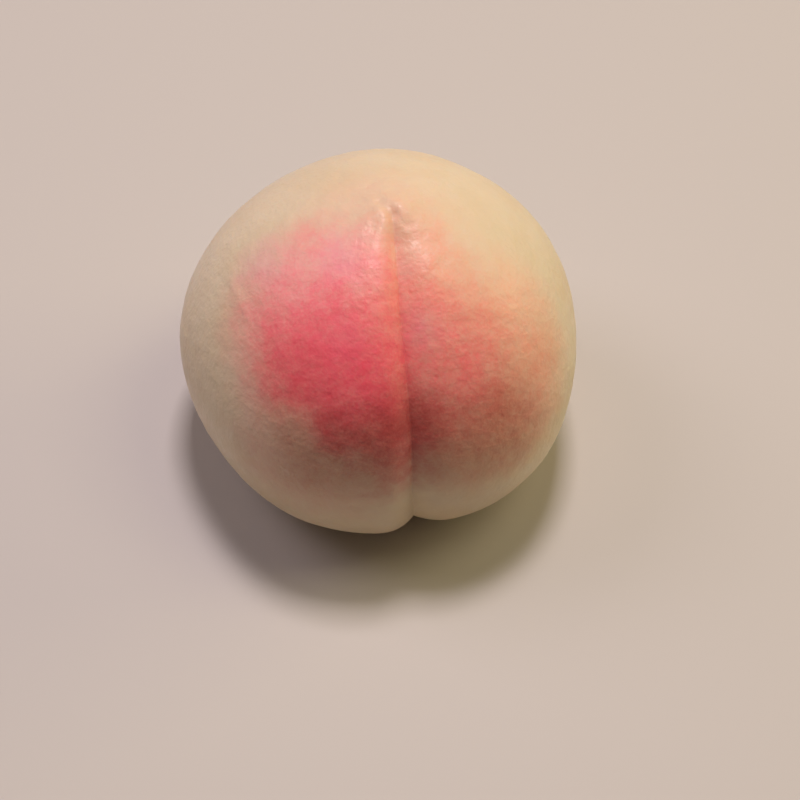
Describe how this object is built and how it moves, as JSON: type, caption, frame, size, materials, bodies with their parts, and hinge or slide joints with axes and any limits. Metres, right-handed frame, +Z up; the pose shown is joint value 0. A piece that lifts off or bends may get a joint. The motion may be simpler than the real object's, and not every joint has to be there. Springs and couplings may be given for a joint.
{
  "type": "longevity peach bun",
  "caption": "Round steamed bun shaped like a peach, with a pinched tip, a crease down the front, a sprayed pink blush and a flat underside that it rests on.",
  "frame": {"origin": "on the ground under the middle of the bun, at the bottom centre of its box", "axes": "+Z up out of the tip; -Y towards the front, where the crease runs down; +X to the right as seen from the front"},
  "size_m": [0.0782, 0.077, 0.0639],
  "materials": {
    "dough": "smooth steamed dough skin, soft satin, cream with a sprayed crimson and coral blush on both lobes"
  },
  "bodies": {
    "root": {"bun": "dough"}
  },
  "joints": []
}
